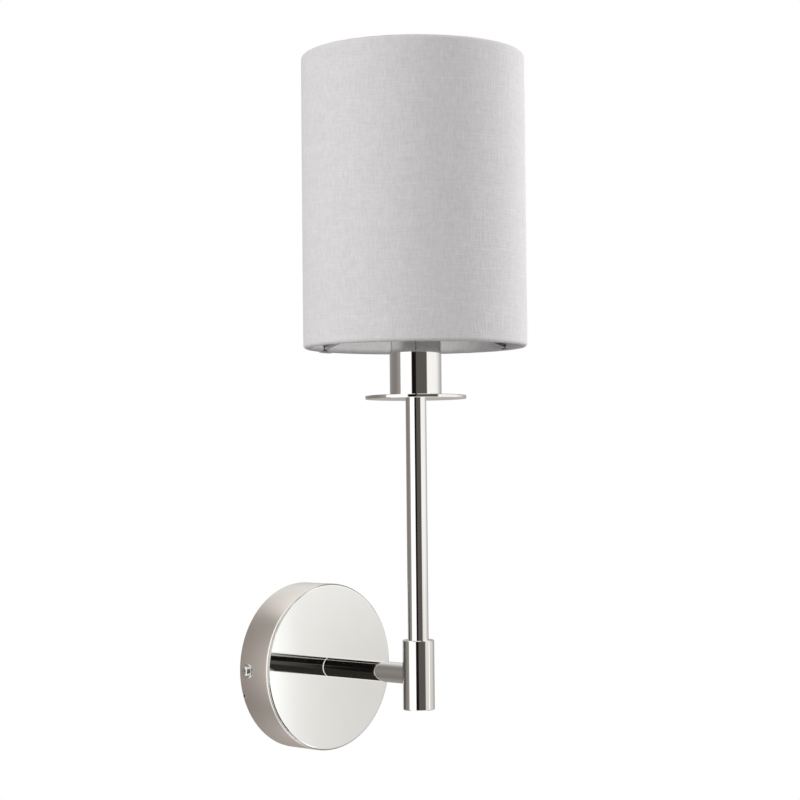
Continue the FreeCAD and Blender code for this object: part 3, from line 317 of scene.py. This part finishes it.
def makeFloor():
    material, graph = newMaterial("paleFloor")
    shown = shownDirectly(graph)
    grain = graph.noise(objectPlace(graph), studio["floorGrain"])
    pale = studio["floorColour"]
    dark = pale * studio["floorGrainDark"]
    tint = graph.blend(grain, colour(pale, pale, pale), colour(dark, dark, dark))
    matte = graph.node("ShaderNodeBsdfDiffuse", {}, {"Color": tint})
    lift = graph.node(
        "ShaderNodeEmission", {}, {"Strength": shown * studio["floorShown"] + studio["floorLift"]}
    )
    both = graph.node("ShaderNodeAddShader", {}, {0: matte, 1: lift})
    graph.node("ShaderNodeOutputMaterial", {}, {"Surface": both})
    shape = bmesh.new()
    bmesh.ops.create_circle(
        shape, cap_ends=True, segments=studio["steps"], radius=studio["floorRadius"],
        matrix=Matrix.Translation((0, stemAxis.y, studio["wallFoot"])),
    )
    return keepShape("floor", shape, material)


def makeLamps():
    middle = stemAxis + Vector((0, 0, studio["lampMiddle"]))
    for turn, height, distance, size, watts in studio["lamps"]:
        light = bpy.data.lights.new("softLamp", "AREA")
        light.size = size
        light.energy = watts
        lamp = addObject("softLamp", light)
        angle = math.radians(turn)
        toward = math.cos(angle) * cameraSide + math.sin(angle) * level
        lamp.location = middle + toward * distance + Vector((0, 0, height))
        lamp.rotation_euler = (lamp.location - middle).to_track_quat("Z", "Y").to_euler()
        for rays in ("camera", "glossy", "transmission"):
            setattr(lamp, "visible_" + rays, False)


def makeSky():
    world = bpy.data.worlds.new("sky")
    bpy.context.scene.world = world
    world.use_nodes = True
    world.node_tree.nodes.clear()
    graph = Graph(world.node_tree)
    strength = shownDirectly(graph) * (1 - studio["skyLight"]) + studio["skyLight"]
    sky = graph.node(
        "ShaderNodeBackground", {}, {"Color": colour(1, 1, 1), "Strength": strength}
    )
    graph.node("ShaderNodeOutputWorld", {}, {"Surface": sky})


wall, floor = makeWall(), makeFloor()
makeLamps()
makeSky()
print("studio made")


# Finishes. Sizes in them are in metres, from Object coordinates or the cloth's own cut.

def surface(graph, values, bump=None, depth=0.0):
    if bump is not None:
        values["Normal"] = graph.node(
            "ShaderNodeBump", {}, {"Height": bump, "Distance": depth, "Strength": 1.0}
        )
    shader = graph.node("ShaderNodeBsdfPrincipled", {}, values)
    graph.node("ShaderNodeOutputMaterial", {}, {"Surface": shader})


# how much finer the grain is than the clouds, and how much of a metal's roughness follows those
grains = {"metal": 7, "moulded": 9, "cloudShare": 0.6}


def metalFinish(name, pale, dark, roughness, spread, scale, stretch, depth):
    material, graph = newMaterial(name)
    place = graph.scaled(objectPlace(graph), stretch)
    cloud = graph.noise(place, scale, detail=3.0)
    fine = graph.noise(place, scale * grains["metal"], detail=2.0)
    mixed = cloud * grains["cloudShare"] + fine * (1 - grains["cloudShare"])
    surface(graph, {
        "Base Color": graph.blend(cloud, pale, dark), "Metallic": 1.0,
        "Roughness": (mixed - 0.5) * spread + roughness,
    }, fine, depth)
    return material


def mouldedFinish(name, pale, dark, roughness, spread, scale, depth):
    material, graph = newMaterial(name)
    place = objectPlace(graph)
    cloud = graph.noise(place, scale, detail=3.0)
    fine = graph.noise(place, scale * grains["moulded"], detail=2.0)
    surface(graph, {
        "Base Color": graph.blend(cloud, pale, dark),
        "Roughness": (fine - 0.5) * spread + roughness,
    }, fine, depth)
    return material


nickel = {
    "pale": colour(0.86, 0.85, 0.83), "dark": colour(0.82, 0.81, 0.79), "spread": 0.03,
    "clouds": 70.0, "ripple": 0.0000015, "rippleScale": 160.0,
}
drawn = {  # the backplate's dish
    "pale": colour(0.86, 0.866, 0.842), "dark": colour(0.82, 0.826, 0.802),
    "rimStart": 0.0491, "rimFull": 0.0499, "rimRoughness": 0.32,
    "rimTint": colour(0.86, 0.81, 0.75),
    "crown": 2.6, "draft": 0.026, "wave": 0.00003, "waveScale": 26.0,
    # the inside of the cover: dull, and painted near black as painted shade
    "insideRadius": 0.0489, "insideDepth": -0.0239, "inside": colour(0.12, 0.115, 0.11),
    "insideRoughness": 0.6,
}
armFoot = {"start": -0.02541, "slope": 0.38}


def polishedNickel(name="polishedNickel", roughness=0.035, dish=None, foot=None):
    material, graph = newMaterial(name)
    place = objectPlace(graph)
    cloud = graph.noise(place, nickel["clouds"], detail=3.0)
    height = graph.noise(place, nickel["rippleScale"], detail=1.0) * nickel["ripple"]
    rough = (cloud - 0.5) * nickel["spread"] + roughness
    plating = dish or nickel
    tint = graph.blend(cloud, plating["pale"], plating["dark"])
    if dish:  # its rim leans in towards the face and is less polished; its inside is dull metal, painted near black as painted shade inside the cover
        x, y, z = place.parts()
        fromMiddle = (x * x + z * z).root()
        rim = fromMiddle.ease(dish["rimStart"], dish["rimFull"])
        inside = (fromMiddle < dish["insideRadius"]) * (y > dish["insideDepth"])
        tint = graph.blend(inside, graph.blend(rim, tint, dish["rimTint"]), dish["inside"])
        rough = rough + rim * (dish["rimRoughness"] - roughness) + inside * dish["insideRoughness"]
        wave = graph.noise(place, dish["waveScale"], detail=1.0)
        height = height - y * y * dish["crown"] + y * dish["draft"] * rim + wave * dish["wave"]
    if foot:  # the small bevel at the arm's foot is steeper towards the tube
        y = place.parts()[1]
        height = height + (y - foot["start"]).highest(0) * foot["slope"]
    surface(graph, {"Base Color": tint, "Metallic": 1.0, "Roughness": rough}, height, 1.0)
    return material


zinc = {
    "pale": colour(0.66, 0.67, 0.69), "dark": colour(0.5, 0.51, 0.53), "flake": 260.0,
    "clouds": 90.0, "roughness": 0.36, "spread": 0.14, "depth": 0.00002,
}
wireZinc = {
    **zinc, "pale": colour(0.38, 0.39, 0.43), "dark": colour(0.22, 0.225, 0.255), "flake": 420.0,
    "roughness": 0.42,
}


def zincSteel(name="zincSteel", coat=zinc):
    material, graph = newMaterial(name)
    place = objectPlace(graph)
    flake = graph.node(
        "ShaderNodeTexVoronoi", {"feature": "F1"}, {"Vector": place, "Scale": coat["flake"]},
        output=1,
    )
    grey = flake.parts()[0]
    cloud = graph.noise(place, coat["clouds"], detail=4.0)
    surface(graph, {
        "Base Color": graph.blend(grey * 0.5 + cloud * 0.5, coat["pale"], coat["dark"]),
        "Metallic": 1.0, "Roughness": coat["roughness"] + (grey - 0.5) * coat["spread"],
    }, cloud, coat["depth"])
    return material


stripe = {
    "middle": 0.0095, "edge": 0.00012, "waver": 0.0001, "green": colour(0.05, 0.3, 0.06),
    "yellow": colour(0.8, 0.62, 0.03), "grain": 900.0, "roughness": 0.38, "spread": 0.1,
    "depth": 0.00002,
}


def earthWireCovering():
    material, graph = newMaterial("greenYellowCovering")
    place = objectPlace(graph)
    x = place.parts()[0] - stripe["middle"]
    grain = graph.noise(place, stripe["grain"])
    yellow = (x + (grain - 0.5) * stripe["waver"]).ease(-stripe["edge"], stripe["edge"])
    surface(graph, {
        "Base Color": graph.blend(yellow, stripe["green"], stripe["yellow"]),
        "Roughness": stripe["roughness"] + (grain - 0.5) * stripe["spread"],
    }, grain, stripe["depth"])
    return material


linen = {
    "pitch": 0.00058, "base": 0.77, "green": 0.976, "blue": 0.977,
    # noise across the cut, along it, and where in the noise
    "upThreads": (1450, 200, 0.3), "acrossThreads": (170, 1250, 3.7),
    "upSlubs": (800, 60, 7.1), "acrossSlubs": (50, 800, 9.4), "clouds": (40, 40, 1.0),
    "slubs": (0.5, 0.8), "slubMiddle": 0.4,
    "upVariation": 0.289, "acrossVariation": 0.17, "slubVariation": 0.035,
    # gapShade: how much darker the gaps between threads are, as painted shade
    "cloudVariation": 0.03, "gapShade": 0.06,
    "roughness": 0.88, "threadGloss": 0.08, "reflection": 0.15, "fuzz": 0.12, "fuzzRoughness": 0.5,
    "bump": 0.0002, "weaveHeight": 0.6, "slubHeight": 0.3, "threadHeight": 0.4,
    # the cut's length, where the hems end, how the painted glow on them grows towards the wall, and
    # its strength
    "length": 0.19712, "hemEdge": (0.009, 0.012), "paintedGlowBehind": (-0.015, 0.045), "glow": 0.36,
}


def linenCloth():
    material, graph = newMaterial("linenCloth")
    flat = graph.node("ShaderNodeUVMap", {"uv_map": "clothCut"}, {})
    around, along, _ = flat.parts()

    def threadNoise(key, detail, roughness=0.5):
        acrossScale, alongScale, start = linen[key]
        place = graph.join(around * acrossScale, along * alongScale, start)
        return graph.noise(place, 1.0, detail, roughness)

    turn = math.pi / linen["pitch"]
    warp = abs((around * turn).sine())
    weft = abs((along * turn).sine())
    over = (around * turn).sine() * (along * turn).sine() * 0.5 + 0.5
    height = warp * over + weft * (1 - over)
    upThreads = threadNoise("upThreads", 2.0, 0.7)
    acrossThreads = threadNoise("acrossThreads", 2.0)
    slubs = sum(
        (threadNoise(key, 1.0).ease(*linen["slubs"]) for key in ("upSlubs", "acrossSlubs")), 0.0
    )
    cloud = threadNoise("clouds", 3.0)
    light = linen["base"] * (
        1.0 + (upThreads - 0.5) * linen["upVariation"]
        + (acrossThreads - 0.5) * linen["acrossVariation"]
        + (slubs - linen["slubMiddle"]) * linen["slubVariation"]
        + (cloud - 0.5) * linen["cloudVariation"]
        # the gaps between threads are darker: painted shade in the weave
        - (1 - height) * linen["gapShade"]
    )
    tint = graph.node("ShaderNodeCombineColor", {}, {
        0: light, 1: light * linen["green"], 2: light * linen["blue"],
    })
    # painted glow: the inner hems are given emission in the cloth's own tint, stronger on the wall
    # side, standing in for daylight off the wall coming through the cloth
    hem = 1 - along.lowest(linen["length"] - along).ease(*linen["hemEdge"])
    hem = hem * (objectPlace(graph).parts()[1] - stemAxis.y).ease(*linen["paintedGlowBehind"])
    raised = (
        height * linen["weaveHeight"] + slubs * linen["slubHeight"]
        + upThreads * linen["threadHeight"]
    )
    surface(graph, {
        "Base Color": tint, "Roughness": linen["roughness"] - height * linen["threadGloss"],
        "Specular IOR Level": linen["reflection"], "Sheen Weight": linen["fuzz"],
        "Sheen Roughness": linen["fuzzRoughness"],
        # painted glow on the inner hems, though the cloth is no lamp
        "Emission Color": graph.blend(hem, colour(0, 0, 0), tint),
        "Emission Strength": linen["glow"],
    }, raised, linen["bump"])
    return material


glass = {
    "pale": colour(0.99, 0.995, 0.99), "dark": colour(0.97, 0.98, 0.975), "smears": 55.0,
    "smearEdge": (0.45, 0.8), "roughness": 0.02, "bend": 1.45,
}


def clearGlass():
    material, graph = newMaterial("clearGlass")
    smear = graph.noise(objectPlace(graph), glass["smears"], detail=2.0)
    surface(graph, {
        "Base Color": graph.blend(smear, glass["pale"], glass["dark"]),
        "Roughness": smear.ease(*glass["smearEdge"]) * glass["roughness"],
        "Transmission Weight": 1.0, "IOR": glass["bend"],
    })
    return material


# slot: name, pale, dark, roughness, its spread, scale, stretch, depth
metals = {
    "brass": (
        "turnedBrass", colour(0.8, 0.62, 0.32), colour(0.66, 0.48, 0.22), 0.26, 0.16, 140.0,
        (1, 1, 6), 0.00002,
    ),
    "lamp_cap_metal": (
        "rolledCapMetal", colour(0.8, 0.8, 0.79), colour(0.68, 0.67, 0.65), 0.28, 0.16, 160.0,
        (1, 1, 5), 0.00001,
    ),
}
# slot: name, pale, dark, roughness, its spread, scale, depth
moulded = {
    "white_plastic": (
        "whitePlastic", colour(0.84, 0.84, 0.81), colour(0.79, 0.79, 0.76), 0.38, 0.12, 120.0,
        0.00002,
    ),
    "black_plastic": (
        "blackPlastic", colour(0.034, 0.034, 0.034), colour(0.022, 0.022, 0.023), 0.34, 0.2, 120.0,
        0.00003,
    ),
    "white_ceramic": (
        "whiteCeramic", colour(0.86, 0.85, 0.81), colour(0.78, 0.76, 0.71), 0.62, 0.2, 240.0,
        0.00005,
    ),
    "brown_wire": (
        "brownCovering", colour(0.2, 0.085, 0.035), colour(0.15, 0.06, 0.025), 0.4, 0.14, 200.0,
        0.00002,
    ),
    "blue_wire": (
        "blueCovering", colour(0.03, 0.13, 0.5), colour(0.02, 0.09, 0.38), 0.4, 0.14, 200.0,
        0.00002,
    ),
    "shade_lining_sheet": (
        "liningSheet", colour(0.9, 0.9, 0.885), colour(0.87, 0.87, 0.855), 0.5, 0.1, 60.0, 0.00003,
    ),
    "lamp_insulator_glass": (
        "blackInsulator", colour(0.02, 0.02, 0.022), colour(0.012, 0.012, 0.014), 0.12, 0.1, 300.0,
        0.00002,
    ),
    "yellow_phosphor": (
        "yellowPhosphor", colour(0.9, 0.63, 0.12), colour(0.84, 0.54, 0.08), 0.5, 0.16, 600.0,
        0.00004,
    ),
}
finishes = {
    "polished_nickel": polishedNickel(), "zinc_steel": zincSteel(), "linen_fabric": linenCloth(),
    "green_yellow_wire": earthWireCovering(), "clear_glass": clearGlass(),
    **{slot: metalFinish(*look) for slot, look in metals.items()},
    **{slot: mouldedFinish(*look) for slot, look in moulded.items()},
}
satinNickel = polishedNickel("satinNickel", 0.28)
wireSteel = zincSteel("wireSteel", wireZinc)
ownFinishes = {
    "backplate_cover": polishedNickel("drawnNickel", 0.045, drawn),
    "arm_tube": polishedNickel("armNickel", foot=armFoot),
    **dict.fromkeys(("cover_screws", "cover_washers"), satinNickel),
    **dict.fromkeys(
        ("shade_spokes", "shade_gallery", "shade_bottom_ring", "shade_top_ring"), wireSteel
    ),
}
for name, item in nodes.items():
    for holder in item.material_slots:
        holder.material = ownFinishes.get(name) or finishes[holder.material.name.split(".")[0]]
print("finishes given to", len(nodes), "nodes")


# Pieces that replace a node.

def growPiece(name, tree, values, finish):
    # One node tree, run on an empty mesh and kept as a plain mesh.
    host = addObject(name + "Host", bpy.data.meshes.new(name + "Host"))
    modifier = host.modifiers.new("grow", "NODES")
    modifier.node_group = tree
    sockets = {
        socket.name: socket.identifier for socket in tree.interface.items_tree
        if socket.item_type == "SOCKET" and socket.in_out == "INPUT"
    }
    for key, value in values.items():
        modifier[sockets[key]] = value
    modifier[sockets["finish"]] = finish
    bpy.context.view_layer.update()
    grown = host.evaluated_get(bpy.context.evaluated_depsgraph_get())
    mesh = bpy.data.meshes.new_from_object(grown)
    mesh.name = name
    bpy.data.objects.remove(host)
    return addObject(name, mesh)


def newTree(name, sizes):
    tree = bpy.data.node_groups.new(name, "GeometryNodeTree")
    tree.interface.new_socket(name="geometry", in_out="OUTPUT", socket_type="NodeSocketGeometry")
    kinds = {
        **dict.fromkeys(sizes, "NodeSocketFloat"),
        "columns": "NodeSocketInt", "rows": "NodeSocketInt", "finish": "NodeSocketMaterial",
    }
    for key, kind in kinds.items():
        tree.interface.new_socket(name=key, in_out="INPUT", socket_type=kind)
    graph = Graph(tree)
    entry = tree.nodes.new("NodeGroupInput")
    return graph, {key: Socket(graph, entry.outputs[key]) for key in kinds}


def endTree(graph, geometry, entry):
    real = graph.node("GeometryNodeRealizeInstances", {}, {"Geometry": geometry})
    smooth = graph.node("GeometryNodeSetShadeSmooth", {}, {"Geometry": real})
    painted = graph.node(
        "GeometryNodeSetMaterial", {}, {"Geometry": smooth, "Material": entry["finish"]}
    )
    graph.node("NodeGroupOutput", {}, {"geometry": painted})


def thicken(item, thickness, offset, even=False):
    wall = item.modifiers.new("thickness", "SOLIDIFY")
    wall.thickness = thickness
    wall.offset = offset
    wall.use_even_offset = even


clothSizes = {
    "radius": 0.0647, "bottom": 0.18885, "top": 0.35815, "turnRadius": 0.001825, "hem": 0.01,
    "lean": 0.0026, "leanRise": 0.005, "lap": 0.009, "lapRamp": 0.004, "lapStep": 1.05,
    "thickness": 0.00055, "seamTurn": 100.0, "columns": 264, "rows": 124, "wallRows": 0.34,
    "plainMargin": 0.003,  # how far before its edge the plain wall ends
    "ripple": 0.00022, "rippleRise": 9, "rippleScale": 2.6,
    "scallop": 0.00025, "scallopRise": 5, "scallopScale": 9.0,
    "slot": 0.0021, "slotStart": 0.9,  # slits for the spokes, in the cut's lower edge
}
spokeTurns = (-14.0, 106.0, 226.0)


def clothTree():
    graph, entry = newTree("rolledCloth", (
        "radius", "wallHalf", "middle", "turnRadius", "width", "length", "lean", "leanRise",
        "lapRamp", "step", "seam", "ripple", "scallop", "wallShare", "slot",
    ))
    radius, wallHalf, rho = entry["radius"], entry["wallHalf"], entry["turnRadius"]
    half = entry["length"] * 0.5
    flat = graph.node("GeometryNodeMeshGrid", {}, {
        "Size X": entry["width"], "Size Y": entry["length"], "Vertices X": entry["columns"],
        "Vertices Y": entry["rows"],
    })
    across, rise, _ = graph.node("GeometryNodeInputPosition", {}, {}).parts()
    across = across + entry["width"] * 0.5
    share = abs(rise / half)
    wall = wallHalf - clothSizes["plainMargin"]
    split = entry["wallShare"]
    # few rows up the plain wall, many round the turned edges
    upWall = share.lowest(split) / split * wall
    reach = upWall + (share - split).highest(0) / (1 - split) * (half - wall)
    side = rise.sign()
    cut = graph.node(
        "GeometryNodeStoreNamedAttribute", {"data_type": "FLOAT2", "domain": "CORNER"},
        {"Geometry": flat, "Name": "clothCut", "Value": graph.join(across, reach * side + half, 0)},
    )
    # the cut is slit from its edge where a spoke passes
    angle = entry["seam"] + across / radius
    slits = 0.0
    for turn in spokeTurns:
        gap = (angle - math.radians(turn)).wrapped(-math.pi, math.pi)
        slits = (abs(gap) * radius < entry["slot"]) + slits
    turnEnd = wallHalf + rho * math.pi
    slits = slits * (rise < 0.0) * (reach > turnEnd - rho * clothSizes["slotStart"])
    cut = graph.node(
        "GeometryNodeDeleteGeometry", {"domain": "FACE"},
        {"Geometry": cut, "Selection": slits > 0.5},
    )
    # up the wall, round the wire, and down inside as the hem
    over = ((reach - wallHalf) / (rho * math.pi)).highest(0).lowest(1) * math.pi
    inside = (reach - turnEnd).highest(0)
    lapped = across.ease(radius * 2 * math.pi - entry["lapRamp"], radius * 2 * math.pi)
    bend = rho + lapped * entry["step"]
    wave, pucker = (
        graph.noise(
            graph.join(angle.cosine(), angle.sine(), up * clothSizes[key + "Rise"]),
            clothSizes[key + "Scale"],
        ) - 0.5
        for key, up in (("ripple", rise), ("scallop", side))
    )
    away = (
        radius - rho + bend * over.cosine() + inside.ease(0, entry["leanRise"]) * entry["lean"]
        + wave * entry["ripple"]
    )
    high = (
        reach.lowest(wallHalf) + bend * over.sine() - inside
        + pucker * over.sine() * entry["scallop"]
    )
    rolled = graph.node("GeometryNodeSetPosition", {}, {
        "Geometry": cut,
        "Position": graph.join(
            away * angle.cosine(), away * angle.sine() + stemAxis.y, entry["middle"] + high * side
        ),
    })
    endTree(graph, rolled, entry)
    return graph.tree


def makeCloth():
    size = clothSizes
    wallHalf = (size["top"] - size["bottom"]) / 2 - size["turnRadius"]
    girth = 2 * math.pi * size["radius"] + size["lap"]
    length = 2 * (wallHalf + math.pi * size["turnRadius"] + size["hem"])
    values = {
        "radius": size["radius"], "wallHalf": wallHalf,
        "middle": (size["top"] + size["bottom"]) / 2, "turnRadius": size["turnRadius"],
        "width": girth, "length": length, "lean": size["lean"], "leanRise": size["leanRise"],
        "lapRamp": size["lapRamp"], "step": size["thickness"] * size["lapStep"],
        "seam": math.radians(size["seamTurn"]), "ripple": size["ripple"],
        "scallop": size["scallop"], "wallShare": size["wallRows"], "slot": size["slot"],
        "columns": size["columns"], "rows": size["rows"],
    }
    cloth = growPiece("shadeCloth", clothTree(), values, finishes["linen_fabric"])
    thicken(cloth, size["thickness"], 0, even=True)
    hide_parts("shade_fabric")
    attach(cloth, "shade")
    print("cloth rolled,", len(cloth.data.polygons), "faces")


makeCloth()


# The lamp's cap is rolled from sheet: a round thread below, a plain skirt round the glass above.
cap = {
    "radius": 0.00695, "sheet": 0.00035, "length": 0.0155, "pitch": 0.00282,
    "depth": 0.00055, "threadStart": 0.0006, "threadEnd": 0.0098, "run": 0.0009,
    "columns": 73, "rows": 150, "join": 0.00001,
}


def capTree():
    graph, entry = newTree(
        "rolledThread", ("radius", "length", "bottom", "pitch", "depth", "start", "end", "run")
    )
    sheet = graph.node("GeometryNodeMeshGrid", {}, {
        "Size X": 2 * math.pi, "Size Y": entry["length"], "Vertices X": entry["columns"],
        "Vertices Y": entry["rows"],
    })
    angle, along, _ = graph.node("GeometryNodeInputPosition", {}, {}).parts()
    along = along + entry["length"] * 0.5
    turns = along / entry["pitch"] * (2 * math.pi) - angle
    fade = along.ease(entry["start"], entry["start"] + entry["run"])
    fade = fade * (1 - along.ease(entry["end"] - entry["run"], entry["end"]))
    away = entry["radius"] - (1 - turns.cosine()) * 0.5 * entry["depth"] * fade
    rolled = graph.node("GeometryNodeSetPosition", {}, {
        "Geometry": sheet,
        "Position": graph.join(
            away * angle.cosine(), away * angle.sine() + stemAxis.y, entry["bottom"] + along
        ),
    })
    joined = graph.node(
        "GeometryNodeMergeByDistance", {}, {"Geometry": rolled, "Distance": cap["join"]}
    )
    endTree(graph, joined, entry)
    return graph.tree


def makeLampCap():
    kept = ("radius", "length", "pitch", "depth", "run", "columns", "rows")
    values = {key: cap[key] for key in kept}
    low = min(corner[2] for corner in nodes["lamp_cap"].bound_box)
    values.update(bottom=low, start=cap["threadStart"], end=cap["threadEnd"])
    shell = growPiece("rolledLampCap", capTree(), values, finishes["lamp_cap_metal"])
    thicken(shell, cap["sheet"], -1)
    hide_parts("lamp_cap")
    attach(shell, "lamp")
    print("lamp cap rolled,", len(shell.data.polygons), "faces")


makeLampCap()
